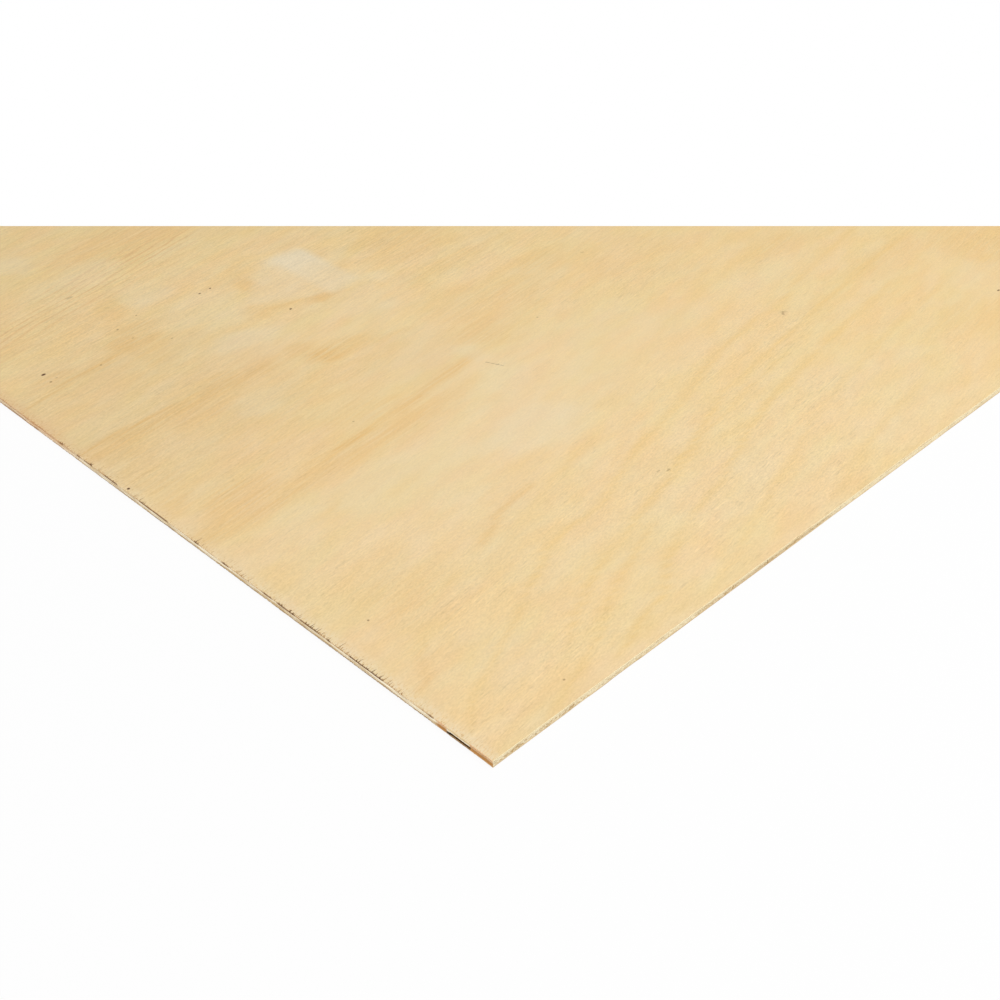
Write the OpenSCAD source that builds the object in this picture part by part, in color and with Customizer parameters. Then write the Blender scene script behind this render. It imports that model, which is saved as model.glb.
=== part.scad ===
// Plywood sheet: a face and a back veneer glued crosswise to a thicker core.
// X runs along the grain of the face, Y across it and Z up.
// The origin is under the middle of the sheet, where it rests on its back.

/* [Sheet] */
// Length of the sheet, along the grain of the face
sheet_length = 2440; // [900:1:3660]
// Width of the sheet, across the grain of the face
sheet_width = 1220; // [300:1:1830]

/* [Plies] */
// Thickness of the face veneer
face_thickness = 0.9; // [0.4:0.1:3]
// Thickness of the core veneer
core_thickness = 3.2; // [2:0.1:12]
// Thickness of the back veneer
back_thickness = 0.9; // [0.4:0.1:3]

/* [Core joints] */
// Width of the core strip at the near end of the sheet
first_strip_width = 242; // [100:1:640]
// Width of the full core strips laid after it
full_strip_width = 640; // [200:1:1280]
// Open joint left between neighbouring core strips
core_joint = 0.8; // [0.2:0.1:3]

/* [Torn core] */
// Distance of the torn place from the near corner, along the cross-cut edge
tear_start = 17; // [5:1:200]
// Length of the torn place along the edge
tear_length = 17; // [10:0.5:60]
// Length over which each end of the torn place runs out to the edge
tear_run_out = 4; // [1:0.5:5]
// Depth of the torn place into the sheet
tear_depth = 4; // [1:0.5:20]
// Height of the torn place above the back veneer
tear_height = 1.6; // [0.4:0.1:1.9]

/* [Hidden] */
// Level of the top of each ply
back_top = back_thickness;
core_top = back_top + core_thickness;
// Edges of the sheet that meet at the near corner
near_end = -sheet_length / 2;
far_end = sheet_length / 2;
near_side = -sheet_width / 2;
// Distance from one full core strip to the next, and the number of strips in the length
strip_pitch = full_strip_width + core_joint;
strips_after_first = ceil((sheet_length - first_strip_width - core_joint) / strip_pitch);
// How far a cutting shape stands out past the surface that it cuts
cut_over = 1;

face_colour = "#EBCF9D";
core_colour = "#D2B48A";
back_colour = "#E0C08C";

// One ply, cut to the outline of the sheet
module ply(level, thickness) {
    translate([near_end, near_side, level])
        cube([sheet_length, sheet_width, thickness]);
}

// One strip of the core, from one place along the sheet to another
module core_strip(from_x, to_x) {
    translate([from_x, near_side, back_top])
        cube([to_x - from_x, sheet_width, core_thickness]);
}

// The core strips in a row, with the last one trimmed at the far end
module core_strips() {
    first_end = near_end + first_strip_width;
    core_strip(near_end, first_end);
    for (i = [0 : strips_after_first - 1]) {
        from_x = first_end + core_joint + i * strip_pitch;
        core_strip(from_x, min(from_x + full_strip_width, far_end));
    }
}

// The sliver that the saw tore out of the core, between the back veneer and the rest of the core
module torn_sliver() {
    translate([near_end, near_side + tear_start, back_top - cut_over])
        linear_extrude(tear_height + cut_over)
            polygon([
                [-cut_over, 0],
                [0, 0],
                [tear_depth, tear_run_out],
                [tear_depth, tear_length - tear_run_out],
                [0, tear_length],
                [-cut_over, tear_length]
            ]);
}

module face_veneer() {
    color(face_colour)
        ply(core_top, face_thickness);
}

module core_veneer() {
    color(core_colour)
        difference() {
            core_strips();
            torn_sliver();
        }
}

module back_veneer() {
    color(back_colour)
        ply(0, back_thickness);
}

face_veneer();
core_veneer();
back_veneer();
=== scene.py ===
import math
from functools import partial, reduce

import bpy
import numpy as np
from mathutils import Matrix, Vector
from mathutils.geometry import delaunay_2d_cdt


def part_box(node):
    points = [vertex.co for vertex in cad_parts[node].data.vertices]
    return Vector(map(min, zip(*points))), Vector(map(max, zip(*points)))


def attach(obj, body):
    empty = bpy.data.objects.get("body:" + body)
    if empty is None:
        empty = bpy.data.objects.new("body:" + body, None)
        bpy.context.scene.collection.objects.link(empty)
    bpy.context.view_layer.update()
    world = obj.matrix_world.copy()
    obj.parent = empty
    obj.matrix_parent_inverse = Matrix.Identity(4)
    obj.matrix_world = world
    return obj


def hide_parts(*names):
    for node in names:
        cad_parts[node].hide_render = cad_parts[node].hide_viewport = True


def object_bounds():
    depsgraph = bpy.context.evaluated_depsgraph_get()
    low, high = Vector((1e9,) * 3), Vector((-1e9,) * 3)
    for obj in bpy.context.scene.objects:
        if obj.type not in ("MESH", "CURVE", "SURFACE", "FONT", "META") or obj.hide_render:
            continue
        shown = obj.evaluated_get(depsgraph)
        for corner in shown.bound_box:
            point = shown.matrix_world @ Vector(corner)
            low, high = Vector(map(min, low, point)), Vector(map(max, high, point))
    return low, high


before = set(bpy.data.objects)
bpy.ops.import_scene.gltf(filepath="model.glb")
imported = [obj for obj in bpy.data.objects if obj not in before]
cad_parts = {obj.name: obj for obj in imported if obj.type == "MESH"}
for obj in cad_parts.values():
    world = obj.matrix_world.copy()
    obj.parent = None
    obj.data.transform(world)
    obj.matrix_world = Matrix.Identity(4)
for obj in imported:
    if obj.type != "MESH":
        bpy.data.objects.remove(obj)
cad_low, cad_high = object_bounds()

# Sizes are in millimetres on the sheet's own axes, measured from the near corner:
# u along the grain of the face, v across it, and z up from the back.
MM = 0.001
LENGTH = (cad_high.x - cad_low.x) / MM
WIDTH = (cad_high.y - cad_low.y) / MM
THICKNESS = (cad_high.z - cad_low.z) / MM
BACK_TOP = (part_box("back_veneer")[1].z - cad_low.z) / MM
FACE_BOTTOM = (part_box("face_veneer")[0].z - cad_low.z) / MM

# The part of the face that the camera shows has a finer mesh, finest beside the near end
SHOWN_LENGTH = 800
SHOWN_WIDTH = 760
SHOWN_STEP = (8, 2.5)
FINEST_LENGTH = 104
REST_STEP = (16, 8)

# The four edges in their order round an outline, and the two caps of a slab
NEAR_SIDE, FAR_END, FAR_SIDE, NEAR_END = range(4)
TOP_CAP, BOTTOM_CAP = -1, -2
# The parts of a slab that each take a material
ZONES = {
    "top": [TOP_CAP],
    "bottom": [BOTTOM_CAP],
    "sides": [NEAR_SIDE, FAR_SIDE],
    "ends": [NEAR_END, FAR_END],
}

# The place near the corner where the saw tore a sliver out of the core
TEAR_START = 17
TEAR_LENGTH = 17
TEAR_END = TEAR_START + TEAR_LENGTH
TEAR_RUN_OUT = 4
TEAR_DEPTH = 4
TEAR_HEIGHT = 1.6
TEAR_TOP = BACK_TOP + TEAR_HEIGHT


def smooth(value, low, high):
    """Rises from 0 at low to 1 at high, level at both ends."""
    t = np.clip((value - low) / (high - low), 0, 1)
    return t * t * (3 - 2 * t)


NOISE_CELLS = 512


def noise(seed, x, y=0.0):
    """Smooth noise from -1 to 1 with one lattice cell for each unit of x and of y."""
    table = np.random.default_rng(seed).uniform(-1, 1, (NOISE_CELLS, NOISE_CELLS))
    x, y = np.broadcast_arrays(np.asarray(x, float), np.asarray(y, float))
    column, row = np.floor(x).astype(int), np.floor(y).astype(int)
    across, down = smooth(x - column, 0, 1), smooth(y - row, 0, 1)

    def corner(step_x, step_y):
        return table[(column + step_x) % NOISE_CELLS, (row + step_y) % NOISE_CELLS]

    low = corner(0, 0) * (1 - across) + corner(1, 0) * across
    high = corner(0, 1) * (1 - across) + corner(1, 1) * across
    return low * (1 - down) + high * down


# Outlines

def edge_places(low_u, high_u, steps):
    """Points round a rectangle over the whole width, each with the edge that it is on."""
    corners = np.array([(low_u, 0), (high_u, 0), (high_u, WIDTH), (low_u, WIDTH)], float)
    points, edges = [], []
    for edge in (NEAR_SIDE, FAR_END, FAR_SIDE, NEAR_END):
        start, end = corners[edge], corners[(edge + 1) % len(corners)]
        count = round(np.abs(end - start).sum() / steps[edge])
        points.append(np.linspace(start, end, count, endpoint=False))
        edges.append(np.full(count, edge))
    return np.concatenate(points), np.concatenate(edges)


# The way in from each edge
INWARD = np.array([[0, 1], [-1, 0], [0, -1], [1, 0]], float)
# Length over which a ragged edge runs out to its corners
CORNER_RUN = 5


def inset_row(points, edges, inset, level):
    """One row of wall points: the outline moved inward by inset, at a level."""
    moved = points + INWARD[edges] * inset[:, None]
    return np.column_stack([moved, np.broadcast_to(level, len(points))])


def is_end(edges):
    return np.isin(edges, ZONES["ends"])


def along(points, edges):
    """Place along each point's own edge."""
    return np.where(is_end(edges), points[:, 1], points[:, 0])


def whole_at_corners(place, edges):
    """0 at the sheet's corners, rising to 1 a little way along each edge."""
    full = np.where(is_end(edges), WIDTH, LENGTH)
    return smooth(np.minimum(place, full - place), 0, CORNER_RUN)


# Sawn edges of a face or back veneer

# How far each kind of edge stands in from the outline, on the whole
RIPPED_INSET = 0.06
CROSS_CUT_INSET = 0.18
# Slivers gone from a ripped edge: length for each one, limits of half length and of depth
SLIVER_SPACING = 70
SLIVER_HALF = (6, 28)
SLIVER_DEPTH = (0.05, 0.25)
# Splits into a cross-cut edge: length for each one, limits of reach, and the share of long ones
SPLIT_SPACING = 1.5
SPLIT_REACH = (0.4, 2.0)
LONG_SPLIT_SHARE = 0.22
LONG_SPLIT_REACH = (2.2, 5.5)
# Where the splits are fullest, and how much they thin out past it
ROUGHEST_FROM = 34
ROUGHEST_UP_TO = 330
THINNED_BY = 0.65


def ripped_inset(place, seed):
    """An edge sawn along the grain: nearly straight, with a thin sliver gone here and there."""
    inset = RIPPED_INSET * (1 + 0.6 * noise(seed, place / 45) + 0.4 * noise(seed + 1, place / 7))
    draw = np.random.default_rng(seed + 2)
    for _ in range(int(np.ptp(place) / SLIVER_SPACING)):
        middle = draw.uniform(place.min(), place.max())
        half = draw.uniform(*SLIVER_HALF)
        depth = draw.uniform(*SLIVER_DEPTH)
        inset = inset + depth * smooth(half - np.abs(place - middle), 0, 0.4 * half)
    return inset


def cross_cut_inset(place, seed):
    """An edge sawn across the grain: ragged, with splits that run in along the grain."""
    ragged = np.abs(noise(seed, place / 0.9)) + 0.6 * np.abs(noise(seed + 1, place / 4))
    inset = CROSS_CUT_INSET * (0.3 + ragged)
    crowd = smooth(noise(seed + 2, place / 22), -0.8, 0.4)
    crowd *= smooth(place, ROUGHEST_FROM, ROUGHEST_FROM + 12)
    crowd *= 1 - THINNED_BY * smooth(place, ROUGHEST_UP_TO, ROUGHEST_UP_TO + 90)
    draw = np.random.default_rng(seed + 3)
    for _ in range(int(np.ptp(place) / SPLIT_SPACING)):
        at = draw.integers(1, len(place) - 1)
        reach = draw.uniform(*SPLIT_REACH)
        if draw.random() < LONG_SPLIT_SHARE:
            reach = draw.uniform(*LONG_SPLIT_REACH)
        inset[at] += reach * crowd[at]
    return inset


def veneer_inset(points, edges, seed):
    """How far a veneer's sawn edge stands in from the outline, all round."""
    place = along(points, edges)
    inset = np.zeros(len(points))
    for edge in (NEAR_SIDE, FAR_END, FAR_SIDE, NEAR_END):
        mine = edges == edge
        sawn = cross_cut_inset if edge in ZONES["ends"] else ripped_inset
        inset[mine] = sawn(place[mine], seed + 10 * edge)
    return inset * whole_at_corners(place, edges)


# Sawn edges of the core

# How far above the torn place a level of the wall still belongs to it
TEAR_SLACK = 0.2


def core_inset(points, edges, level, seed):
    """The core's wall at one level: streaky at the ends, and pitted end grain at the sides."""
    place = along(points, edges)
    streaks = 0.10 + 0.09 * noise(seed, place / 16, level / 0.5)
    streaks += 0.06 * noise(seed + 1, place / 3, level / 0.3)
    pits = 0.08 + 0.10 * np.abs(noise(seed + 2, place / 0.9, level / 0.45))
    pits += 0.08 * noise(seed + 3, place / 9, level)
    inset = np.where(is_end(edges), streaks, pits) * whole_at_corners(place, edges)
    torn = (edges == NEAR_END) & (level < TEAR_TOP + TEAR_SLACK)
    ramp = np.minimum(place - TEAR_START, TEAR_END - place) / TEAR_RUN_OUT
    depth = TEAR_DEPTH * np.clip(ramp, 0, 1) * (0.85 + 0.15 * noise(seed + 4, place / 2, level / 0.6))
    return np.where(torn, np.maximum(inset, depth), inset)


# Meshes

NO_POINTS = np.empty((0, 2))
# Points nearer than this are merged, and 1 asks for triangles inside the outline only
MERGE_DISTANCE = 1e-6
INSIDE_ONLY = 1


def cap(outline, inner):
    """Triangles that fill an outline, with its points first and any inner points after them."""
    points = [Vector(p) for p in np.vstack([outline, inner])]
    count = len(outline)
    rim = [(i, (i + 1) % count) for i in range(count)]
    _, _, faces, origins, _, _ = delaunay_2d_cdt(points, rim, [], INSIDE_ONLY, MERGE_DISTANCE)
    first = [o[0] for o in origins]
    return [[first[i] for i in face] for face in faces]


def slab(rows, edges, inner=NO_POINTS):
    """A closed slab: walls through the rows from the top down, and a cap on the first and the last row.

    Returns its vertices, its faces, and the edge or the cap that each face belongs to.
    """
    count = len(rows[0])
    inner_row = np.column_stack([inner, np.full(len(inner), rows[0][:, 2].max())])
    vertices = np.vstack(rows + [inner_row])
    here = np.arange(count)
    following = (here + 1) % count
    walls = []
    for row in range(len(rows) - 1):
        upper, lower = row * count, (row + 1) * count
        walls.append(np.column_stack([upper + here, lower + here, lower + following, upper + following]))
    moved = np.concatenate([here, np.arange(len(inner)) + len(rows) * count])
    top = [[int(moved[i]) for i in face] for face in cap(rows[0][:, :2], inner)]
    last = (len(rows) - 1) * count
    bottom = [[last + i for i in reversed(face)] for face in cap(rows[-1][:, :2], NO_POINTS)]
    faces = np.concatenate(walls).tolist() + top + bottom
    zone = np.concatenate([
        np.tile(edges, len(rows) - 1),
        np.full(len(top), TOP_CAP),
        np.full(len(bottom), BOTTOM_CAP),
    ])
    return vertices, faces, zone


def piece(name, slabs, materials, node):
    """One object from slabs, riding on the sheet's body in place of a solid."""
    start, vertices, faces, zones = 0, [], [], []
    for slab_vertices, slab_faces, slab_zone in slabs:
        vertices.append(slab_vertices)
        faces += [[start + i for i in face] for face in slab_faces]
        zones.append(slab_zone)
        start += len(slab_vertices)
    places = np.vstack(vertices)
    mesh = bpy.data.meshes.new(name)
    mesh.from_pydata((np.array(cad_low) + places * MM).tolist(), [], faces)
    zone = np.concatenate(zones)
    slot_of = {}
    for slot, (kind, material) in enumerate(materials.items()):
        mesh.materials.append(material)
        slot_of |= dict.fromkeys(ZONES[kind], slot)
    mesh.polygons.foreach_set("material_index", np.array([slot_of[z] for z in zone], np.int32))
    mesh.update()
    made = bpy.data.objects.new(name, mesh)
    bpy.context.scene.collection.objects.link(made)
    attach(made, "root")
    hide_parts(node)
    return made, places


def set_fields(made, **fields):
    """Keeps numbers for each vertex, for a material to read."""
    for name, values in fields.items():
        field = made.data.attributes.new(name, "FLOAT", "POINT")
        field.data.foreach_set("value", values.astype(np.float32))


# Figure of the face

# Growth rings of the shown part: points along each line, its half width and its strength
RINGS = [
    ([(-10, 8), (29, 45), (62, 59), (108, 80), (154, 105), (205, 111), (271, 135), (350, 156),
      (429, 180), (540, 193)], 5, 0.62),
    ([(80, 22), (121, 52), (179, 75), (250, 95), (300, 112), (379, 139), (450, 151), (558, 168),
      (700, 188)], 5, 0.78),
    ([(255, 92), (325, 116), (392, 128), (470, 144)], 4, 0.55),
    ([(30, -4), (100, 20), (154, 50), (235, 79)], 5, 0.65),
    ([(96, 2), (142, 18), (170, 24), (196, 43), (242, 61), (288, 73), (350, 97), (400, 112),
      (479, 126), (620, 147)], 5, 0.72),
    ([(180, 2), (233, 17), (292, 37), (346, 55), (400, 77), (470, 90), (554, 106), (680, 121)], 5, 0.5),
    ([(310, 2), (360, 17), (420, 34), (540, 56)], 5, 0.4),
    ([(520, 195), (588, 208), (662, 221), (740, 231)], 5, 0.62),
    ([(165, 143), (215, 155), (290, 174)], 7, 0.35),
    ([(390, 215), (480, 245), (600, 268)], 8, 0.3),
]
RING_FADE = 30


def ring_field(u, v):
    """The ring lines of the shown part, each fading out at its ends."""
    bent = v + 1.6 * noise(21, u / 22, v / 14) + 1.0 * noise(22, u / 9, v / 8)
    dark = np.zeros(len(u))
    for points, half_width, strength in RINGS:
        line_u, line_v = np.array(points).T
        off = np.abs(bent - np.interp(u, line_u, line_v))
        ends = smooth(u - line_u[0], 0, RING_FADE) * smooth(line_u[-1] - u, 0, RING_FADE)
        dark = np.maximum(dark, strength * ends * smooth(half_width - off, 0, half_width))
    return dark


# Spacing of the growth rings over the rest of the sheet, and how they climb across it
RING_SPACING = 31
RING_SLOPE = 0.12


def away(u, v, start, full):
    """0 over the shown part and 1 over the rest of the sheet."""
    return smooth(np.hypot(u, 1.1 * v), start, full)


def ring_phase(u, v):
    """Counts the growth rings over the rest of the sheet: a ring line lies at each whole number."""
    phase = (v - RING_SLOPE * u) / RING_SPACING
    phase = phase + 3.4 * noise(23, u / 620, v / 210) + 0.8 * noise(24, u / 240, v / 80)
    return phase + 0.07 * noise(21, u / 30, v / 22) + 0.14 * noise(22, u / 110, v / 50)


def ring_strength(u, v):
    """How dark the ring lines are over the rest of the sheet."""
    spread = 0.25 + 0.75 * smooth(noise(25, u / 500, v / 120), -0.5, 0.6)
    return spread * (0.95 + 0.35 * noise(26, u / 90, v / 40)) * away(u, v, 740, 960)


# The close rings at the near end: spacing, slope, and the middle of their belt
FINE_SPACING = 7.5
FINE_SLOPE = 0.26
FINE_MIDDLE = 563


def fine_strength(u, v):
    """Where the close rings show: a belt at the near end, and places along the sheet."""
    across = v - FINE_SLOPE * u - FINE_MIDDLE
    belt = 0.75 * np.exp(-(across / 22) ** 2) + 0.5 * np.exp(-((across - 26) / 56) ** 2)
    belt *= (1 - smooth(u, 200, 330)) * (0.55 + 0.6 * noise(28, u / 70, v / 9))
    return belt + away(u, v, 860, 1050) * smooth(noise(27, u / 420, v / 90), 0.25, 0.7)


# Brown streaks: start, end, half width and strength
STREAKS = [
    ((-60, 392), (200, 404), 17, 0.62), ((-70, 398), (165, 409), 6, 0.85), ((185, 386), (275, 366), 8, 0.3),
    ((-60, 262), (260, 276), 19, 0.55), ((-60, 266), (90, 274), 9, 0.55), ((60, 270), (310, 309), 7, 0.62),
    ((105, 280), (170, 287), 6, 1.0), ((175, 287), (230, 294), 6, 0.8), ((200, 475), (275, 446), 4, 0.45),
    ((104, 134), (206, 164), 7, 0.62), ((-20, 472), (110, 499), 8, 0.65), ((-15, 50), (50, 105), 7, 0.4),
    ((60, 345), (150, 352), 6, 0.2),
]
# Brown clouds: middle, half length, half width and strength
BROWN_CLOUDS = [
    ((114, 490), 26, 60, 0.42), ((104, 504), 18, 16, 0.7), ((124, 555), 22, 26, 0.42),
    ((206, 383), 20, 18, 0.8), ((225, 385), 34, 16, 0.4), ((195, 402), 20, 14, 0.45),
    ((207, 471), 14, 16, 0.35), ((256, 453), 15, 9, 0.8), ((230, 512), 13, 20, 0.48),
    ((237, 537), 18, 15, 0.2), ((60, 136), 50, 60, 0.2), ((62, 128), 22, 20, 0.28),
    ((42, 100), 20, 46, 0.12), ((348, 350), 80, 58, 0.28), ((316, 332), 28, 46, 0.38),
    ((370, 480), 60, 50, 0.4), ((370, 425), 70, 14, 0.3), ((205, 645), 90, 45, 0.38),
    ((480, 330), 80, 60, 0.2), ((745, 142), 100, 44, 0.42), ((640, 175), 90, 18, 0.25),
    ((600, 60), 70, 40, 0.2), ((340, 8), 30, 14, 0.22), ((90, 388), 50, 22, 0.4),
    ((60, 420), 120, 150, 0.14), ((120, 330), 120, 90, 0.2), ((18, 342), 32, 80, 0.34),
    ((70, 560), 60, 30, 0.25), ((48, 286), 48, 28, 0.52), ((40, 499), 26, 11, 0.4),
    ((124, 515), 26, 15, 0.5), ((122, 412), 26, 13, 0.35), ((195, 355), 44, 18, 0.3),
    ((182, 302), 40, 14, 0.35), ((181, 264), 36, 16, 0.25), ((428, 372), 44, 26, 0.34),
    ((581, 249), 56, 18, 0.34), ((715, 112), 60, 24, 0.38),
]
# Pale clouds, on the same terms; those that reach the mark stop there
PALE_CLOUDS = [
    ((275, 425), 40, 34, 0.2), ((171, 444), 34, 24, 0.34), ((178, 500), 40, 40, 0.16),
    ((268, 348), 28, 36, 0.16), ((282, 312), 18, 26, 0.2), ((274, 264), 32, 32, 0.28),
    ((245, 206), 64, 34, 0.36), ((210, 232), 120, 34, 0.17), ((128, 364), 20, 26, 0.22),
    ((150, 620), 34, 30, 0.2), ((108, 672), 18, 26, 0.24), ((166, 558), 28, 30, 0.2),
    ((130, 178), 100, 60, 0.09), ((335, 235), 130, 70, 0.1), ((304, 448), 18, 15, 0.26),
    ((660, 104), 40, 26, 0.2), ((540, 222), 80, 30, 0.16), ((300, 66), 150, 34, 0.1),
    ((440, 60), 110, 60, 0.1),
]
# The place along the sheet where a mark of the press stops them
PRESS_MARK = 300
# The palest patch: a block against the mark, and a wedge that points at the near end
BLOCK_START = 262
BLOCK_LOW = 449
BLOCK_HIGH = 536
WEDGE_TIP = (202, 485)


def pale_patch(u, v):
    """The palest patch of the face, palest at its upper corner on the mark."""
    block = smooth(u, BLOCK_START - 5, BLOCK_START + 9) * smooth(v, BLOCK_LOW - 8, BLOCK_LOW + 14)
    block *= smooth(BLOCK_HIGH - v, -5, 12) * (0.44 + 0.36 * smooth(v, 480, 515))
    t = (u - WEDGE_TIP[0]) / (BLOCK_START - WEDGE_TIP[0])
    middle = WEDGE_TIP[1] + t * ((BLOCK_LOW + BLOCK_HIGH) / 2 - WEDGE_TIP[1])
    reach = t * (BLOCK_HIGH - BLOCK_LOW) / 2
    wedge = 0.27 * smooth(reach - np.abs(v - middle), -4, 8) * smooth(BLOCK_START + 6 - u, 0, 12)
    return np.maximum(block * (1 - smooth(u, PRESS_MARK - 4, PRESS_MARK + 5)), wedge)


# Share of a streak's length, and of a cloud's reach, over which it fades out
STREAK_FADE = 0.2
CLOUD_FADE = 0.6


def streak_field(u, v, start, end, half_width):
    """A band from start to end, soft across and fading out at both ends."""
    t = (u - start[0]) / (end[0] - start[0])
    middle = start[1] + t * (end[1] - start[1])
    across = smooth(half_width - np.abs(v - middle), 0, half_width)
    return across * smooth(t, 0, STREAK_FADE) * smooth(1 - t, 0, STREAK_FADE)


def cloud_field(u, v, middle, half_length, half_width):
    """An oval, 1 in the middle and fading to 0 at its rim."""
    distance = np.hypot((u - middle[0]) / half_length, (v - middle[1]) / half_width)
    return smooth(1 - distance, 0, CLOUD_FADE)


# Dark flecks: middle, half length along u and v, half width and depth of tone
FLECKS = [
    ((229, 456), (1.3, 0), 1.1, 1.0), ((193, 527), (1.2, 0), 1.0, 0.9),
    ((204, 528), (1.2, 0), 1.0, 0.9), ((115.5, 595), (4.0, 0), 1.6, 0.25),
    ((39, 509), (2.2, 0.3), 1.4, 1.0), ((37.5, 496.5), (1.2, 0), 1.0, 0.6),
    ((43.5, 498.5), (1.2, 0), 0.8, 0.3), ((76.5, 490.5), (1.1, 0), 1.0, 0.45),
    ((114.5, 525.5), (1.2, 0), 1.0, 0.5), ((137, 533.5), (1.1, 0), 0.9, 0.45),
    ((115.5, 506.5), (1.3, 0), 0.9, 0.3), ((136.5, 485), (1.2, 0), 0.9, 0.32),
    ((498, 177), (3.4, 2.6), 0.9, 0.42), ((282.5, 289), (1.0, -2.1), 0.8, 0.3),
    ((284, 285.5), (1.0, -2.1), 0.7, 0.3), ((285.5, 282), (1.0, -2.1), 0.8, 0.36),
    ((287, 278.5), (1.0, -2.1), 0.7, 0.24), ((266, 109), (2.6, -0.2), 0.6, 0.28),
    ((271.5, 105), (2.6, 0.2), 0.8, 0.38), ((28, 133), (1.0, 0), 0.9, 0.6),
    ((73, 16), (1.0, 0), 0.9, 0.5), ((650, 76), (2.0, 0), 1.0, 0.8),
    ((461.5, 357.5), (1.5, -1.5), 0.6, 0.32), ((2.5, 345), (1.3, 0), 1.2, 1.0),
    ((357, 309), (1.2, 0), 0.9, 0.3), ((160, 300), (1.0, 0), 0.9, 0.35),
]
# Flecks over the rest of the face: their number, and how far they keep from its edges
FLECKS_ELSEWHERE = 46
FLECK_MARGIN = 20
# Points round a fleck, and its rims as shares of its half length and half width
FLECK_SIDES = 8
FLECK_RIMS = (0.6, 1.1)


def all_flecks():
    """The listed flecks, and a scatter of the same kind over the rest of the face."""
    draw = np.random.default_rng(51)
    flecks = list(FLECKS)
    lowest = (FLECK_MARGIN, FLECK_MARGIN)
    highest = (LENGTH - FLECK_MARGIN, WIDTH - FLECK_MARGIN)
    while len(flecks) < len(FLECKS) + FLECKS_ELSEWHERE:
        middle = draw.uniform(lowest, highest)
        if middle[0] > SHOWN_LENGTH or middle[1] > SHOWN_WIDTH:
            half_length = (draw.uniform(1, 2.6), 0)
            flecks.append((tuple(middle), half_length, draw.uniform(0.9, 1.3), draw.uniform(0.4, 1)))
    return flecks


def fleck_points():
    """Mesh points that give every fleck its own middle, rim and surround."""
    turn = 2 * np.pi * np.arange(FLECK_SIDES) / FLECK_SIDES
    circle = np.column_stack([np.cos(turn), np.sin(turn)])
    rims = np.vstack([np.zeros((1, 2))] + [size * circle for size in FLECK_RIMS])
    points = []
    for middle, half_length, half_width, _ in all_flecks():
        lengthwise = np.array(half_length)
        crosswise = np.array([-lengthwise[1], lengthwise[0]]) * half_width / np.hypot(*lengthwise)
        points.append(np.array(middle) + rims[:, :1] * lengthwise + rims[:, 1:] * crosswise)
    return np.vstack(points)


def fleck_field(u, v):
    """How dark a fleck is at each place."""
    dark = np.zeros(len(u))
    for middle, half_length, half_width, depth in all_flecks():
        length = np.hypot(*half_length)
        cos, sin = half_length[0] / length, half_length[1] / length
        off_u, off_v = u - middle[0], v - middle[1]
        distance = np.hypot((off_u * cos + off_v * sin) / length, (off_v * cos - off_u * sin) / half_width)
        dark = np.maximum(dark, depth * smooth(1.05 - distance, 0, 0.5))
    return dark


# Dark places along the near end: start and end of each, and how far they are listed
DARK_LINE_PLACES = [
    (46, 52), (90, 119), (133, 138), (144, 164), (169, 185), (189, 199), (232, 240), (262, 270),
    (297, 331), (355, 372), (384, 394), (398, 404), (421, 428), (452, 460), (470, 500),
]
DARK_LINE_LISTED = 505
# Where the dark line passes from the upper glue line to the lower one
DARK_LINE_LOW_FROM = 425
DARK_LINE_LOW_TO = 455


def charred_field(u, v):
    """How dark the cross-cut ends are at each place along them."""
    at = v + 1.5 * noise(42, v / 5)
    scattered = smooth(noise(41, v / 13), 0.0, 0.5)
    listed = np.zeros(len(v))
    for start, end in DARK_LINE_PLACES:
        listed = np.maximum(listed, smooth(np.minimum(at - start, end - at), -1.0, 2.0))
    shown = (u < LENGTH / 2) & (v < DARK_LINE_LISTED)
    return np.where(shown, listed, scattered)


def upper_share(v):
    """How much of the dark line lies at the upper glue line; the rest is at the lower one."""
    upper = 1 - smooth(v, DARK_LINE_LOW_FROM, DARK_LINE_LOW_TO)
    return np.clip(upper + smooth(v, DARK_LINE_LISTED, DARK_LINE_LISTED + 60), 0, 1)


# Where the fibres are more or less lively: middle, half length, half width, and by how much
LIVELY_PLACES = [
    ((240, 270), 300, 200, -0.45),
    ((330, 95), 190, 110, 0.3),
    ((590, 90), 160, 120, -0.3),
    ((60, 70), 110, 100, 0.1),
    ((104, 32), 60, 24, 0.2),
    ((640, 260), 160, 120, -0.2),
]
# Where the wood is duller, on the same terms
DULL_PLACES = [
    ((85, 420), 150, 138, -0.035),
    ((248, 336), 64, 46, -0.03),
]


def uneven(u, v, base, places):
    """A base that is raised or lowered at each of the places."""
    for *oval, more in places:
        base = base + more * cloud_field(u, v, *oval)
    return base


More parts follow.
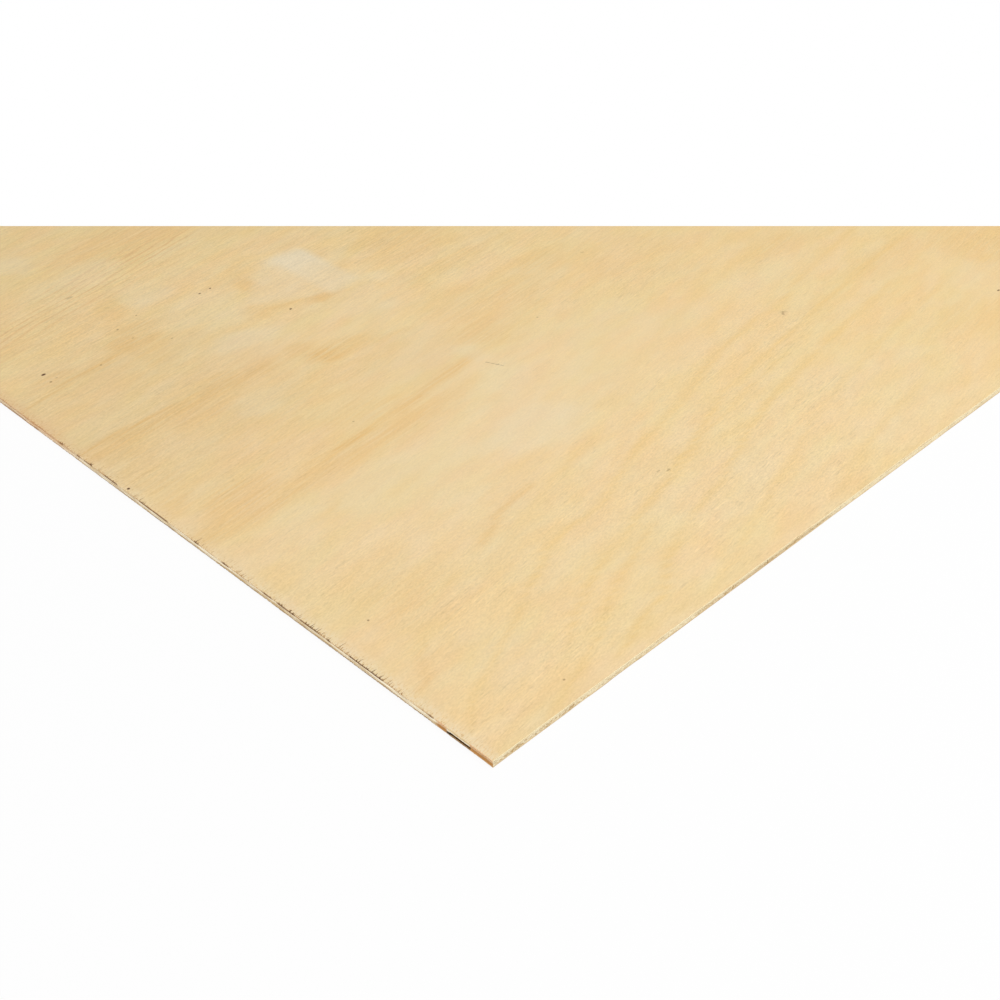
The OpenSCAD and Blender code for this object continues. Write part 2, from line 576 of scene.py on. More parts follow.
def stains(u, v):
    """How brown and how pale each place is, beside its rings and fibres."""
    bent_u = u + 12 * noise(31, u / 40, v / 22) + 6 * noise(38, u / 16, v / 10)
    bent_v = v + 4 * noise(32, u / 45, v / 14) + 2.5 * noise(33, u / 18, v / 9)
    rest = away(u, v, 650, 950)
    brown = rest * 0.6 * smooth(noise(34, u / 330, v / 34) + 0.4 * noise(35, u / 90, v / 17), 0.35, 0.95)
    pale = rest * 0.36 * smooth(noise(36, u / 230, v / 75) + 0.4 * noise(37, u / 90, v / 30), 0.45, 1.2)
    pale = np.maximum(pale, pale_patch(u + 0.3 * (bent_u - u), v + 0.5 * (bent_v - v)))
    for *band, strength in STREAKS:
        brown = np.maximum(brown, strength * streak_field(bent_u, v + 0.4 * (bent_v - v), *band))
    for middle, half_length, half_width, strength in BROWN_CLOUDS:
        share = min(1, half_width / 40)
        near_u, near_v = u + share * (bent_u - u), v + share * (bent_v - v)
        brown = np.maximum(brown, strength * cloud_field(near_u, near_v, middle, half_length, half_width))
    for middle, half_length, half_width, strength in PALE_CLOUDS:
        cloud = strength * cloud_field(bent_u, bent_v, middle, half_length, half_width)
        stopped = 1 - smooth(u, PRESS_MARK - 3, PRESS_MARK + 9) if middle[0] < PRESS_MARK else 1
        pale = np.maximum(pale, cloud * stopped)
    return brown, pale


# Materials

def linear(code):
    """The shader's colour for a written colour such as EBCF9D."""
    parts = [int(code[i:i + 2], 16) / 255 for i in (0, 2, 4)]
    return tuple(((c + 0.055) / 1.055) ** 2.4 if c > 0.04045 else c / 12.92 for c in parts) + (1.0,)


# Sockets of the Mix node when it mixes colours
MIX_FACTOR, MIX_A, MIX_B, MIX_RESULT = 0, 6, 7, 2
NO_TURN = (0, 0, 0)
SPECULAR = 0.3


class Nodes:
    """Makes and links the nodes of a material or a world."""

    def __init__(self, owner):
        owner.use_nodes = True
        self.tree = owner.node_tree

    def node(self, kind, *values, **settings):
        """A new node with the settings, its first sockets fed with the values."""
        made = self.tree.nodes.new(kind)
        for key, value in settings.items():
            setattr(made, key, value)
        for socket, value in zip(made.inputs, values):
            self.feed(socket, value)
        return made

    def feed(self, socket, value):
        """Links a socket to another one, or sets it to a plain value or to a colour's code."""
        if isinstance(value, bpy.types.NodeSocket):
            self.tree.links.new(value, socket)
        else:
            socket.default_value = linear(value) if isinstance(value, str) else value

    def feed_named(self, node, values):
        """Feeds the sockets of a node by their names."""
        for name, value in values.items():
            self.feed(node.inputs[name], value)

    def math(self, operation, a, b=0.0):
        return self.node("ShaderNodeMath", a, b, operation=operation).outputs["Value"]

    def add(self, *values):
        """The sum of the values."""
        return reduce(partial(self.math, "ADD"), values)

    def times(self, *values):
        """The product of the values."""
        return reduce(partial(self.math, "MULTIPLY"), values)


class Wood(Nodes):
    """A material whose nodes read the place on the sheet in millimetres."""

    def __init__(self, name):
        self.material = bpy.data.materials.new(name)
        super().__init__(self.material)
        self.shader = self.tree.nodes["Principled BSDF"]
        place = self.node("ShaderNodeTexCoord").outputs["Object"]
        self.place = self.mapped(place, [-c / MM for c in cad_low], [1 / MM] * 3)
        self.u, self.v, self.z = self.node("ShaderNodeSeparateXYZ", self.place).outputs

    def mapped(self, place, move, scale):
        """A place that is scaled and then moved."""
        return self.node("ShaderNodeMapping", place, move, NO_TURN, scale).outputs["Vector"]

    def lean(self, slope):
        """Turns the grain of the noise, so that it climbs across the sheet by slope along it."""
        climbing = self.math("SUBTRACT", self.v, self.times(self.u, slope))
        self.place = self.node("ShaderNodeCombineXYZ", self.u, climbing, self.z).outputs["Vector"]

    def noise(self, size, detail=2.0, rough=0.5, seed=0):
        """Noise from 0 to 1, with grains of the given size along u, v and z."""
        place = self.mapped(self.place, [seed * 7.3, seed * 3.1, seed * 5.7], [1 / s for s in size])
        made = self.node("ShaderNodeTexNoise", place)
        self.feed_named(made, {"Scale": 1.0, "Detail": detail, "Roughness": rough})
        return made.outputs["Fac"]

    def step(self, value, low, high, start=0.0, end=1.0):
        """Goes smoothly from start to end as value goes from low to high."""
        limits = (low, high, start, end)
        made = self.node("ShaderNodeMapRange", value, *limits, interpolation_type="SMOOTHSTEP")
        return made.outputs["Result"]

    def fall(self, value, low, high, end=0.0):
        """Goes smoothly from 1 to end as value goes from low to high."""
        return self.step(value, low, high, 1.0, end)

    def between(self, value, start, end, out, into):
        """1 from start to end, fading from a length into that stretch to a length out of it."""
        started = self.step(value, start - out, start + into)
        return self.times(started, self.fall(value, end - into, end + out))

    def mix(self, factor, a, b, blend="MIX"):
        made = self.node("ShaderNodeMix", data_type="RGBA", blend_type=blend)
        self.feed(made.inputs[MIX_FACTOR], factor)
        self.feed(made.inputs[MIX_A], a)
        self.feed(made.inputs[MIX_B], b)
        return made.outputs[MIX_RESULT]

    def tint(self, colour, by):
        """A colour multiplied by another one."""
        return self.mix(1.0, colour, by, "MULTIPLY")

    def grey(self, value):
        """A grey of the given strength."""
        return self.node("ShaderNodeCombineColor", value, value, value).outputs["Color"]

    def field(self, name):
        """A number that the mesh keeps for each vertex."""
        return self.node("ShaderNodeAttribute", attribute_name=name).outputs["Fac"]

    def finish(self, colour, roughness, height, relief):
        """Sets the surface: colour, roughness, and relief in millimetres from a height of 0 to 1."""
        bump = self.node("ShaderNodeBump")
        self.feed_named(bump, {"Distance": relief * MM, "Height": height})
        self.feed_named(self.shader, {"Normal": bump.outputs["Normal"], "Base Color": colour})
        self.feed_named(self.shader, {"Roughness": roughness, "Specular IOR Level": SPECULAR})
        return self.material


# Tones of the face; the warm one multiplies the wood
FACE_PLAIN = "F1D7A6"
FACE_SHADE = "F0D29D"
FACE_WARM = (0.985, 0.972, 0.90, 1)
FACE_BROWN = "E9BF7C"
FACE_RING = "EDCA88"
FACE_CLOSE = "E6BF88"
FACE_PALE = "EEDFBF"
FACE_WORN = "F0E0C0"
FACE_PEACH = "E4B883"
# Painted shade: the dark strokes that stand in for the shadows of the splits along the near end
FACE_SPLIT_SHADE = "B9905C"
FLECK_DARK = "583114"
# Faint hues that multiply the wood: the size of their clouds, a seed, and the two tones
FACE_HUES = [
    ((75, 34, 1), 4, (1.016, 0.988, 0.982, 1), (0.990, 1.004, 0.994, 1)),
    ((44, 20, 1), 11, (0.997, 1.0, 1.028, 1), (1.0, 1.0, 0.966, 1)),
]
FACE_RELIEF = 0.05
GRAIN_SLOPE = 0.14
# Distances from the near corner between which the wood gets warmer
WARM_FROM = 250
WARM_TO = 800
# Width of the worn strip along the near end, which also holds the painted shade of its splits, and where
# along it the rust sets in
WORN_REACH = 11
RUST_FROM = 375
RUST_FULL = RUST_FROM + 80


def face_tone(wood):
    """The plain wood of the face: two close tones in soft clouds, with faint hues over them."""
    cloudy = wood.noise((42, 16, 1), detail=3, rough=0.55, seed=3)
    colour = wood.mix(wood.step(cloudy, 0.32, 0.68), FACE_PLAIN, FACE_SHADE)
    for size, seed, tone, other_tone in FACE_HUES:
        hue = wood.noise(size, detail=3, rough=0.55, seed=seed)
        colour = wood.tint(colour, wood.mix(wood.step(hue, 0.35, 0.65), tone, other_tone))
    reach = wood.math("SQRT", wood.add(wood.math("POWER", wood.u, 2.0), wood.math("POWER", wood.v, 2.0)))
    return wood.mix(wood.step(reach, WARM_FROM, WARM_TO), colour, wood.tint(colour, FACE_WARM))


def draw_rings(wood, colour):
    """Draws the ring lines of the face, wide and close ones, all broken along their length."""
    broken = wood.step(wood.noise((34, 5, 1), detail=3, seed=6), 0.34, 0.60, 0.55, 1.0)
    colour = wood.mix(wood.times(wood.field("rings"), broken, 0.9), colour, FACE_RING)
    off_line = wood.math("PINGPONG", wood.field("ring_phase"), 0.5)
    line = wood.times(wood.step(off_line, 0.0, 0.16, 0.8, 0.0), wood.field("ring_strength"), broken)
    colour = wood.mix(line, colour, FACE_RING)
    sloping = wood.math("SUBTRACT", wood.v, wood.times(wood.u, FINE_SLOPE))
    wander = wood.noise((120, 26, 1), detail=4, rough=0.6, seed=12)
    phase = wood.add(wood.math("DIVIDE", sloping, FINE_SPACING), wood.times(wander, 2.6))
    close_line = wood.fall(wood.math("PINGPONG", phase, 0.5), 0.0, 0.22)
    return wood.mix(wood.times(close_line, wood.field("fine_rings"), broken), colour, FACE_CLOSE)


def face_grain(wood, speckle, fibre):
    """How light each place is, from its speckle, fibres, threads, dashes and ticks."""
    grain = wood.add(wood.step(speckle, 0.2, 0.8, -0.085, 0.07), wood.step(fibre, 0.2, 0.8, -0.02, 0.02))
    thread = wood.noise((26, 2.2, 1), detail=3, rough=0.6, seed=13)
    thready = wood.step(wood.v, 200, 420, 0.3, 1.0)
    threads = wood.times(wood.step(thread, 0.25, 0.75, -0.047, 0.047), thready)
    dash = wood.noise((11, 1.1, 1), detail=1, seed=9)
    dashes = wood.add(wood.step(dash, 0.60, 0.74, 0.0, -0.085), wood.step(dash, 0.40, 0.26, 0.0, 0.06))
    patchy = wood.step(wood.noise((60, 30, 1), seed=8), 0.48, 0.64, 0.12, 1.2)
    tick = wood.noise((14, 0.9, 1), detail=0, seed=14)
    ticks = wood.add(wood.step(tick, 0.70, 0.80, 0.0, -0.07), wood.step(tick, 0.28, 0.20, 0.0, 0.06))
    at_right = wood.times(wood.step(wood.u, 230, 400), wood.fall(wood.v, 180, 320))
    grain = wood.add(grain, threads, wood.times(dashes, patchy), wood.times(ticks, at_right))
    return wood.add(wood.times(grain, wood.field("lively")), wood.field("light"))


def rust_side(wood):
    """The rusty stretch of the ends: 0 up to the place where rust sets in, then rising to 1."""
    return wood.step(wood.v, RUST_FROM, RUST_FULL)


def wear_and_shade_end(wood, colour):
    """Bleaches and reddens the strip of the face along its near end, and paints dark strokes of shade
    there, as the shadows of its splits.
    """
    frayed = wood.noise((3.0, 0.9, 1), rough=0.7, seed=10)
    at_end = wood.fall(wood.u, 0.0, WORN_REACH)
    worn = wood.times(at_end, wood.step(frayed, 0.38, 0.60, 0.08, 0.65), wood.fall(wood.v, 150, 290, 0.35))
    colour = wood.mix(worn, colour, FACE_WORN)
    peachy = wood.times(at_end, rust_side(wood), wood.step(frayed, 0.35, 0.6, 0.7, 0.3))
    colour = wood.mix(peachy, colour, FACE_PEACH)
    # Painted shade: dark strokes along the grain stand in for the shadows of the splits at the end
    split_shade = wood.times(at_end, wood.step(frayed, 0.46, 0.28, 0.0, 0.6))
    return wood.mix(split_shade, colour, FACE_SPLIT_SHADE)


def face_figure():
    """The face: pale wood with soft ring lines, stains, fine fibres and a few dark flecks."""
    wood = Wood("face_figure")
    wood.lean(GRAIN_SLOPE)
    speckle = wood.noise((2.2, 1.0, 1), rough=0.7, seed=1)
    fibre = wood.noise((9, 1.0, 1), rough=0.6, seed=2)
    colour = draw_rings(wood, face_tone(wood))
    streaky = wood.step(wood.noise((50, 2.4, 1), detail=3, seed=7), 0.32, 0.60, 0.4, 1.0)
    colour = wood.mix(wood.times(wood.field("brown"), streaky), colour, FACE_BROWN)
    colour = wood.mix(wood.field("pale"), colour, FACE_PALE)
    colour = wood.tint(colour, wood.grey(face_grain(wood, speckle, fibre)))
    colour = wear_and_shade_end(wood, colour)
    colour = wood.mix(wood.field("fleck"), colour, FLECK_DARK)
    height = wood.add(fibre, wood.times(speckle, 0.5))
    return wood.finish(colour, wood.step(fibre, 0.2, 0.8, 0.55, 0.68), height, FACE_RELIEF)


# Light and dark tones of the sawn edges, and stained and torn ones of the veneers' ends
# The face's sides: its pale long grain, made lighter still as a painted highlight along them
FACE_SIDE_HIGHLIGHT_TONES = ("FFF2CC", "F8DFAA")
FACE_END_TONES = ("F4E2BC", "D2AC78", "EABB8C", "E2C896")
LONG_GRAIN_TONES = ("FFF4D8", "C6A670")
END_GRAIN_TONES = ("F8E8C2", "C2A06A")
GLUED_TONES = ("E0C698", "C09A66")
BACK_SIDE_TONES = ("F2DDB4", "D2B283")
BACK_END_TONES = ("E0CAA4", "A0825A", "D0AA7C", "A27E54")
# Tones of the marks on them
CORE_STREAK = "A8845A"
LOW_LINE = "94744C"
STAIN = "C48C4C"
STAIN_DARK = "A5723C"
DARK_LINE_BROWN = "7A4A20"
VENEER_DARK_LINE = "7A4E26"
RUST = "D9A070"
VENEER_RUST = "C98A5A"
# Painted shade: the near black of the torn hollow under the face
TEAR_SHADE = "24160A"
CREAM = "FDEDC4"
PORE = "957A54"
# Painted shade: the tones of the glued faces that splits lay open, also used on the ledges under the dark
# lines
SPLIT_SHADE_DARK = "5E3C1C"
SPLIT_SHADE_LIGHT = "8A6236"
SAWN_ROUGHNESS = 0.8
SAWN_RELIEF = 0.15
# The wider mottle of a sawn edge: its size beside the fine one, and its share
WIDE_MOTTLE = 14
WIDE_SHARE = 0.35


def sawn_wood(name, tones, grain_size, spread=(0.38, 0.62), seed=11):
    """A sawn edge: a light and a dark tone mottled by noise with grains of the given size."""
    light, dark = tones
    wood = Wood(name)
    mottle = wood.noise(grain_size, detail=4, rough=0.65, seed=seed)
    wide = wood.noise([WIDE_MOTTLE * s for s in grain_size], seed=seed + 1)
    shade = wood.add(wood.times(mottle, 1 - WIDE_SHARE), wood.times(wide, WIDE_SHARE))
    colour = wood.mix(wood.step(shade, *spread), dark, light)
    return wood, colour, mottle


def sawn_finish(wood, colour, mottle):
    """The dull, slightly rough surface of a sawn edge."""
    return wood.finish(colour, SAWN_ROUGHNESS, mottle, SAWN_RELIEF)


def plain_edge(name, tones, grain_size):
    """A sawn edge with no marks of its own."""
    return sawn_finish(*sawn_wood(name, tones, grain_size))


# How far the limits of the corner's stain wander
STAIN_WANDER = 3.0


def corner_stain(wood):
    """Where the near end is stained, on each side of the torn place, and where it is torn."""
    wander = wood.times(wood.noise((1, 3, 1), seed=23), STAIN_WANDER)
    ragged = wood.math("SUBTRACT", wood.add(wood.v, wander), STAIN_WANDER / 2)
    near = wood.fall(wood.u, 20, 30)
    corner = wood.fall(ragged, TEAR_START + 0.5, TEAR_START + 1.5)
    past = wood.step(ragged, TEAR_END + 1, TEAR_END + 3)
    beyond = wood.times(past, wood.fall(ragged, TEAR_END + 8, TEAR_END + 12))
    torn = wood.times(wood.math("SUBTRACT", 1.0, corner), wood.math("SUBTRACT", 1.0, past))
    return wood.times(wood.add(corner, beyond), near), wood.times(torn, near)


def rust_core(wood, colour, streak):
    """Reddens the core's end along the rusty stretch, mostly in its upper half."""
    broken = wood.step(streak, 0.3, 0.55, 0.9, 0.4)
    upper = wood.step(wood.z, BACK_TOP + 0.6, BACK_TOP + 1.8, 0.5, 1.0)
    thinner = wood.fall(wood.v, RUST_FULL + 5, RUST_FULL + 30, 0.45)
    return wood.mix(wood.times(rust_side(wood), broken, upper, thinner), colour, RUST)


def darken_core_lines(wood, colour, streak, mottle):
    """Darkens the core's end along its two glue lines, and draws the brown line at the lower one."""
    upper = wood.step(wood.add(wood.z, mottle), FACE_BOTTOM - 0.05, FACE_BOTTOM + 0.35)
    colour = wood.mix(wood.times(upper, wood.field("charred")), colour, DARK_LINE_BROWN)
    low_edge = wood.math("SUBTRACT", wood.z, mottle)
    lower = wood.fall(low_edge, BACK_TOP + 0.2, BACK_TOP + 0.7)
    colour = wood.mix(wood.times(lower, wood.field("charred_low"), 0.65), colour, DARK_LINE_BROWN)
    line = wood.fall(low_edge, BACK_TOP - 0.2, BACK_TOP + 0.3)
    line = wood.times(line, wood.fall(wood.v, RUST_FROM, RUST_FROM + 40, 0.35))
    return wood.mix(wood.times(line, wood.step(streak, 0.40, 0.56, 0.2, 0.75)), colour, LOW_LINE)


def core_long_grain():
    """The core's ends, sawn along its grain: cream and tan, stained at the corner, dark along its glue
    lines, and painted near black as shade in the torn hollow.
    """
    wood, colour, mottle = sawn_wood("core_long_grain", LONG_GRAIN_TONES, (1, 16, 0.45), (0.41, 0.59))
    streak = wood.noise((1, 11, 0.35), detail=3, seed=21)
    colour = wood.mix(wood.step(streak, 0.53, 0.67, 0.0, 0.7), colour, CORE_STREAK)
    colour = rust_core(wood, colour, streak)
    colour = darken_core_lines(wood, colour, streak, mottle)
    stained, torn = corner_stain(wood)
    stained = wood.times(stained, wood.fall(wood.z, FACE_BOTTOM - 1.4, FACE_BOTTOM - 0.4, 0.62))
    colour = wood.mix(stained, colour, wood.mix(wood.step(mottle, 0.35, 0.6), STAIN_DARK, STAIN))
    # Painted shade: the core's wall in the torn hollow is painted near black
    low = wood.fall(wood.z, TEAR_TOP - 0.1, TEAR_TOP + TEAR_SLACK)
    colour = wood.mix(wood.times(torn, low), colour, TEAR_SHADE)
    return sawn_finish(wood, colour, mottle)


# Paler places of the core along the near side: start, end and share of each
CREAM_PLACES = [(84, 180, 0.45), (325, 450, 0.8), (450, 680, 0.5)]
# The browner place there
TAN_FROM = 205
TAN_TO = 312


def core_end_grain():
    """The core's end grain along the sides: tan, finely mottled with cream and with brown pores."""
    wood, colour, mottle = sawn_wood("core_end_grain", END_GRAIN_TONES, (1.8, 1, 0.9), (0.40, 0.54))
    tan = wood.between(wood.u, TAN_FROM, TAN_TO, 15, 15)
    colour = wood.mix(wood.times(tan, 0.45), colour, END_GRAIN_TONES[1])
    creamy = wood.step(wood.noise((70, 1, 4), detail=3, seed=24), 0.42, 0.58, 0.0, 0.7)
    creamy = wood.times(creamy, wood.step(wood.u, 600, 760))
    for start, end, share in CREAM_PLACES:
        creamy = wood.math("MAXIMUM", creamy, wood.times(wood.between(wood.u, start, end, 20, 10), share))
    under_face = wood.step(wood.z, FACE_BOTTOM - 1.0, FACE_BOTTOM - 0.3, 0.0, 0.75)
    colour = wood.mix(wood.math("MAXIMUM", creamy, under_face), colour, CREAM)
    pores = wood.step(wood.noise((1.6, 1, 0.8), seed=25), 0.60, 0.68)
    colour = wood.mix(wood.times(pores, 0.6), colour, PORE)
    return sawn_finish(wood, colour, mottle)


def end_veneer(name, light, dark, stain, torn_tone):
    """A veneer's end grain: pale, dark brown at the dark places of the ends, and stained near the corner
    like the core.
    """
    wood, colour, mottle = sawn_wood(name, (light, dark), (1, 1.6, 0.4), seed=26)
    charred = wood.times(wood.field("charred"), wood.step(mottle, 0.35, 0.6, 0.3, 0.75))
    colour = wood.mix(charred, colour, VENEER_DARK_LINE)
    rusty = wood.times(rust_side(wood), wood.step(mottle, 0.35, 0.6, 0.7, 0.3))
    colour = wood.mix(rusty, colour, VENEER_RUST)
    stained, torn = corner_stain(wood)
    colour = wood.mix(wood.times(stained, 0.85), colour, stain)
    colour = wood.mix(wood.times(torn, 0.8), colour, torn_tone)
    return sawn_finish(wood, colour, mottle)


def glued_face():
    """The hidden side of a ply: pale, with painted shade in dark brown where a split lays it open, and the
    same dark brown on the ledges under the dark lines of the ends.
    """
    wood, colour, mottle = sawn_wood("glued_face", GLUED_TONES, (2, 12, 1))
    from_end = wood.math("MINIMUM", wood.u, wood.math("SUBTRACT", LENGTH, wood.u))
    at_end = wood.fall(from_end, 6, 12)
    ledge = wood.times(wood.field("charred"), at_end)
    # Painted shade in dark brown where the splits lay the glued face open; the ledges under the dark lines
    # take the same tones
    split = wood.times(wood.step(from_end, 0.45, 0.9), at_end)
    dark = wood.mix(wood.step(mottle, 0.4, 0.6), SPLIT_SHADE_DARK, SPLIT_SHADE_LIGHT)
    colour = wood.mix(wood.math("MAXIMUM", ledge, split), colour, dark)
    return sawn_finish(wood, colour, mottle)


# Tones and surface of the back
BACK_PLAIN = "EACD9B"
BACK_SHADE = "E2BF89"
BACK_RING = "D6AC72"
BACK_ROUGHNESS = 0.7
BACK_RELIEF = 0.08


def back_figure():
    """The back: a plainer veneer of the same wood, a little browner, with faint rings."""
    wood = Wood("back_figure")
    fibre = wood.noise((12, 1.0, 1), detail=3, rough=0.6, seed=31)
    cloudy = wood.noise((380, 60, 1), detail=3, seed=32)
    colour = wood.mix(wood.step(cloudy, 0.30, 0.70), BACK_PLAIN, BACK_SHADE)
    bent = wood.times(wood.noise((900, 260, 1), rough=0.4, seed=33), 9.0)
    phase = wood.add(wood.math("DIVIDE", wood.v, RING_SPACING), bent)
    line = wood.step(wood.math("PINGPONG", phase, 0.5), 0.0, 0.16, 0.8, 0.0)
    broken = wood.step(wood.noise((200, 24, 1), detail=3, seed=34), 0.34, 0.62, 0.3, 1.0)
    colour = wood.mix(wood.times(line, broken), colour, BACK_RING)
    colour = wood.tint(colour, wood.grey(wood.step(fibre, 0.2, 0.8, 0.93, 1.05)))
    return wood.finish(colour, BACK_ROUGHNESS, fibre, BACK_RELIEF)


# Materials of the three plies
face_top = face_figure()
# The face's sawn sides carry a painted highlight over their pale long grain
face_side_highlit = plain_edge("face_side_grain_highlit", FACE_SIDE_HIGHLIGHT_TONES, (30, 1, 0.4))
face_end = end_veneer("face_end_grain", *FACE_END_TONES)
core_side = core_end_grain()
core_end = core_long_grain()
hidden = glued_face()
back_side = plain_edge("back_side_grain", BACK_SIDE_TONES, (20, 1, 0.4))
back_end = end_veneer("back_end_grain", *BACK_END_TONES)
back_bottom = back_figure()

# Veneers

# Spacing of the outline's points along each edge of a veneer
VENEER_STEPS = {NEAR_SIDE: 1.5, FAR_END: 1.0, FAR_SIDE: 2.0, NEAR_END: 0.32}
# The broken arris of the show side, the groove at the glue, and the bulge between them
ARRIS = 0.12
GLUE_GROOVE = 0.10
BULGE = 0.04
# Seeds of the noise on the sawn edges
FACE_SEED = 100
CORE_SEED = 200
BACK_SEED = 300


def veneer_rows(seed, top, bottom, arris_on_top):
    """Wall rows of a veneer, with a broken arris on its show side and a shallow groove at the glue."""
    points, edges = edge_places(0, LENGTH, VENEER_STEPS)
    inset = veneer_inset(points, edges, seed)
    middle = (top + bottom) / 2
    bulge = BULGE * noise(seed + 70, along(points, edges) / 3)
    if arris_on_top:
        levels = [(top, ARRIS), (top - ARRIS, 0), (middle, bulge), (bottom, GLUE_GROOVE)]
    else:
        levels = [(top, GLUE_GROOVE), (middle, bulge), (bottom + ARRIS, 0), (bottom, ARRIS)]
    return [inset_row(points, edges, inset + extra, level) for level, extra in levels], edges


def grid_points(low, high, step):
    """Even points over a rectangle, from its low corner to short of its high one."""
    u = np.arange(low[0], high[0], step[0])
    v = np.arange(low[1], high[1], step[1])
    return np.stack(np.meshgrid(u, v), -1).reshape(-1, 2)


def face_points():
    """Points inside the face: fine where the camera looks, wider elsewhere, and rims at each fleck."""
    shown = grid_points(SHOWN_STEP, (SHOWN_LENGTH, SHOWN_WIDTH), SHOWN_STEP)
    between = shown[shown[:, 0] < FINEST_LENGTH] + (SHOWN_STEP[0] / 2, 0)
    rest = grid_points(REST_STEP, (LENGTH - REST_STEP[0] / 2, WIDTH - REST_STEP[1] / 2), REST_STEP)
    rest = rest[(rest[:, 0] > SHOWN_LENGTH) | (rest[:, 1] > SHOWN_WIDTH)]
    return np.vstack([shown, between, rest, fleck_points()])


def make_face():
    rows, edges = veneer_rows(FACE_SEED, THICKNESS, FACE_BOTTOM, True)
    materials = {"top": face_top, "bottom": hidden, "sides": face_side_highlit, "ends": face_end}
    made, places = piece("face_leaf", [slab(rows, edges, face_points())], materials, "face_veneer")
    u, v = places[:, 0], places[:, 1]
    brown, pale = stains(u, v)
    set_fields(
        made,
        rings=ring_field(u, v),
        ring_phase=ring_phase(u, v),
        ring_strength=ring_strength(u, v),
        fine_rings=fine_strength(u, v),
        brown=brown,
        pale=pale,
        fleck=fleck_field(u, v),
        lively=uneven(u, v, 1 + 0.25 * noise(43, u / 90, v / 60), LIVELY_PLACES),
        light=uneven(u, v, np.ones(len(u)), DULL_PLACES),
        charred=charred_field(u, v) * upper_share(v),
    )


# How dark the back's ends are beside the face's, and how far its places are moved
BACK_DARK_LINE = 0.4
BACK_MOVED = 13


def make_back():
    rows, edges = veneer_rows(BACK_SEED, BACK_TOP, 0, False)
    materials = {"top": hidden, "bottom": back_bottom, "sides": back_side, "ends": back_end}
    made, places = piece("back_leaf", [slab(rows, edges)], materials, "back_veneer")
    set_fields(made, charred=BACK_DARK_LINE * charred_field(places[:, 0], places[:, 1] + BACK_MOVED))


# Core

# Spacing of the outline's points along each edge of a strip, and along its joints
CORE_STEPS = {NEAR_SIDE: 0.8, FAR_END: 1.0, FAR_SIDE: 1.6, NEAR_END: 0.5}
JOINT_STEP = 20
CORE_ROWS = 9
TOLERANCE = 0.001


def core_strip_ends():
    """Where each core strip starts and ends along the sheet, read from the solids' far side."""
    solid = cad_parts["core_veneer"].data
    far = max(v.co.y for v in solid.vertices)
    places = sorted({round((v.co.x - cad_low.x) / MM, 3) for v in solid.vertices if far - v.co.y < MM})
    return list(zip(places[0::2], places[1::2]))


def core_strip(start, end):
    """One strip of the core, rough where it is sawn and plain at its joints."""
    joints = [NEAR_END] if start > TOLERANCE else []
    if LENGTH - end > TOLERANCE:
        joints.append(FAR_END)
    points, edges = edge_places(start, end, CORE_STEPS | dict.fromkeys(joints, JOINT_STEP))
    at_joint = np.isin(edges, joints)
    rows = []
    for level in np.linspace(FACE_BOTTOM, BACK_TOP, CORE_ROWS):
        inset = core_inset(points, edges, level, CORE_SEED)
        rows.append(inset_row(points, edges, np.where(at_joint, 0, inset), level))
    return slab(rows, edges)


def make_core():
    slabs = [core_strip(start, end) for start, end in core_strip_ends()]
    materials = {"top": hidden, "bottom": hidden, "sides": core_side, "ends": core_end}
    made, places = piece("core_strips", slabs, materials, "core_veneer")
    u, v = places[:, 0], places[:, 1]
    charred, upper = charred_field(u, v), upper_share(v)
    set_fields(made, charred=charred * upper, charred_low=charred * (1 - upper))


make_face()
make_core()
make_back()

# Camera: the picture's width and focal length in pixels, its tilt and heading, its place from the near
# corner, where its view starts, and the row of the picture where the view of the face ends
PICTURE = 1000
FOCAL_PIXELS = 1520
CAMERA_TILT = 36.875
CAMERA_HEADING = 44.9
CAMERA_PLACE = (-398, -402, 604)
SENSOR_WIDTH = 36
CLIP_START = 10
CROP_ROW = 226


def make_camera():
    data = bpy.data.cameras.new("camera")
    data.sensor_width = SENSOR_WIDTH
    data.lens = SENSOR_WIDTH * FOCAL_PIXELS / PICTURE
    tilt, heading = math.radians(CAMERA_TILT), math.radians(CAMERA_HEADING)
    camera = bpy.data.objects.new("camera", data)
    camera.location = cad_low + Vector(CAMERA_PLACE) * MM
    camera.rotation_euler = (math.pi / 2 - tilt, 0, heading - math.pi / 2)
    above_centre = (PICTURE / 2 - CROP_ROW) / FOCAL_PIXELS
    drop = math.sin(tilt) - math.cos(tilt) * above_centre
    data.clip_start = CLIP_START * MM
    data.clip_end = (CAMERA_PLACE[2] - THICKNESS) * MM / drop
    bpy.context.scene.collection.objects.link(camera)
    bpy.context.scene.camera = camera


make_camera()

# Stage and light, with sizes in metres
FLOOR_REACH = 30
FLOOR_DROP = 0.0002
FLOOR_GREY = 0.9
FLOOR_WHITE_SHARE = 0.93
WORLD_LIGHT = 0.55
# Lamps: name, place, the place that it points at from the near corner, size and power
LAMPS = [
    ("fill", (-3.2, -0.7, 0.22), (0, 0.3), 0.4, 12),
    ("key", (-0.58, -1.4, 1.9), (0.2, 0.2), 1.4, 23.4),
]


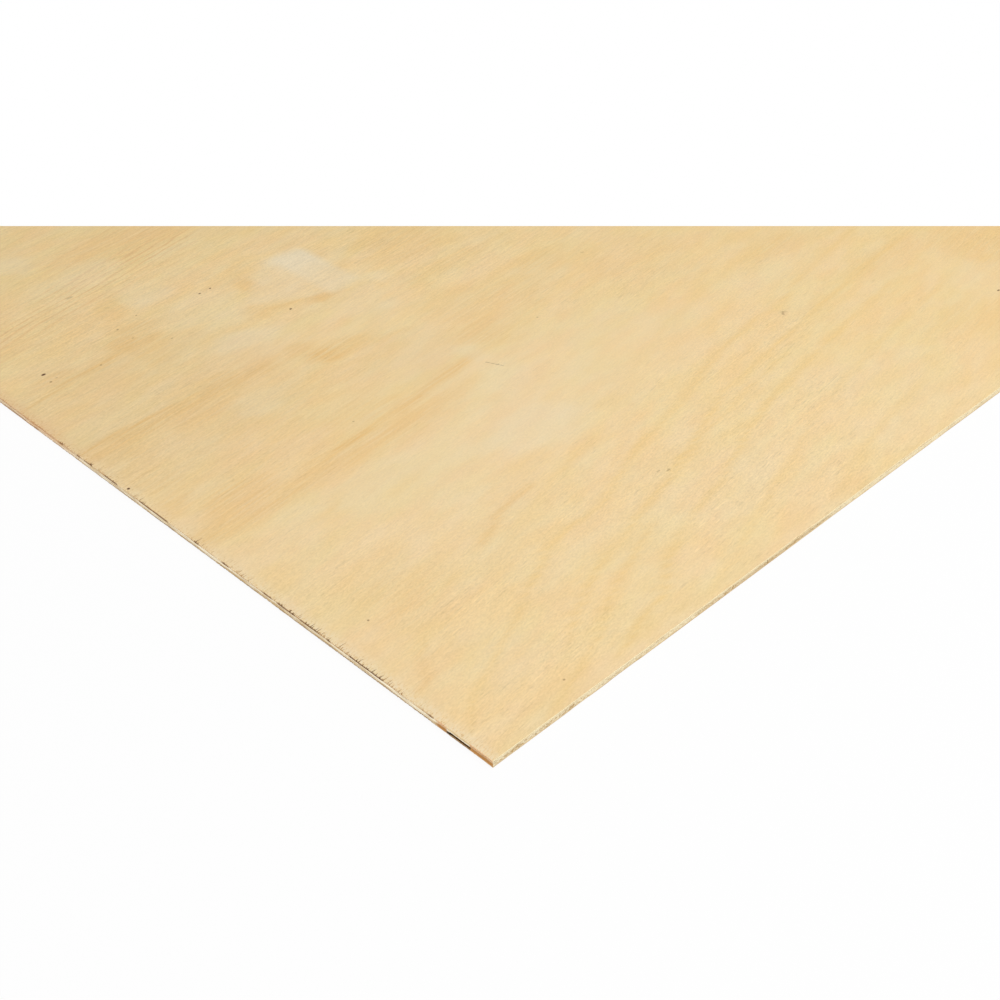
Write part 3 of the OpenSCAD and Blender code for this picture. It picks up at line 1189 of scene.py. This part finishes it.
def seen_directly(nodes):
    """1 for what the camera sees by itself, in a mirror or through glass, else 0."""
    rays = nodes.node("ShaderNodeLightPath").outputs
    mirrored = nodes.math("MAXIMUM", rays["Is Camera Ray"], rays["Is Glossy Ray"])
    return nodes.math("MAXIMUM", mirrored, rays["Is Transmission Ray"])


def floor_material():
    """A matt floor that keeps its shadows and is nearly white to the camera."""
    material = bpy.data.materials.new("floor")
    nodes = Nodes(material)
    matt = nodes.tree.nodes["Principled BSDF"]
    grey = (FLOOR_GREY, FLOOR_GREY, FLOOR_GREY, 1)
    nodes.feed_named(matt, {"Base Color": grey, "Roughness": 1.0, "Specular IOR Level": 0.0})
    white = nodes.node("ShaderNodeEmission")
    share = nodes.times(seen_directly(nodes), FLOOR_WHITE_SHARE)
    both = nodes.node("ShaderNodeMixShader", share, matt.outputs["BSDF"], white.outputs["Emission"])
    nodes.feed(nodes.tree.nodes["Material Output"].inputs["Surface"], both.outputs["Shader"])
    return material


def make_floor():
    mesh = bpy.data.meshes.new("floor")
    r, z = FLOOR_REACH, cad_low.z - FLOOR_DROP
    mesh.from_pydata([(-r, -r, z), (r, -r, z), (r, r, z), (-r, r, z)], [], [(0, 1, 2, 3)])
    mesh.materials.append(floor_material())
    floor = bpy.data.objects.new("floor", mesh)
    bpy.context.scene.collection.objects.link(floor)


def make_world():
    world = bpy.data.worlds.new("studio")
    nodes = Nodes(world)
    strength = nodes.add(nodes.times(seen_directly(nodes), 1 - WORLD_LIGHT), WORLD_LIGHT)
    nodes.feed_named(nodes.tree.nodes["Background"], {"Color": (1, 1, 1, 1), "Strength": strength})
    bpy.context.scene.world = world


def make_lamp(name, place, aim, size, power):
    data = bpy.data.lights.new(name, "AREA")
    data.size = size
    data.energy = power
    made = bpy.data.objects.new(name, data)
    made.location = place
    target = Vector((cad_low.x + aim[0], cad_low.y + aim[1], 0))
    made.rotation_euler = (target - Vector(place)).to_track_quat("-Z", "Y").to_euler()
    bpy.context.scene.collection.objects.link(made)


make_floor()
make_world()
for lamp in LAMPS:
    make_lamp(*lamp)
bpy.context.scene.view_settings.view_transform = "Standard"
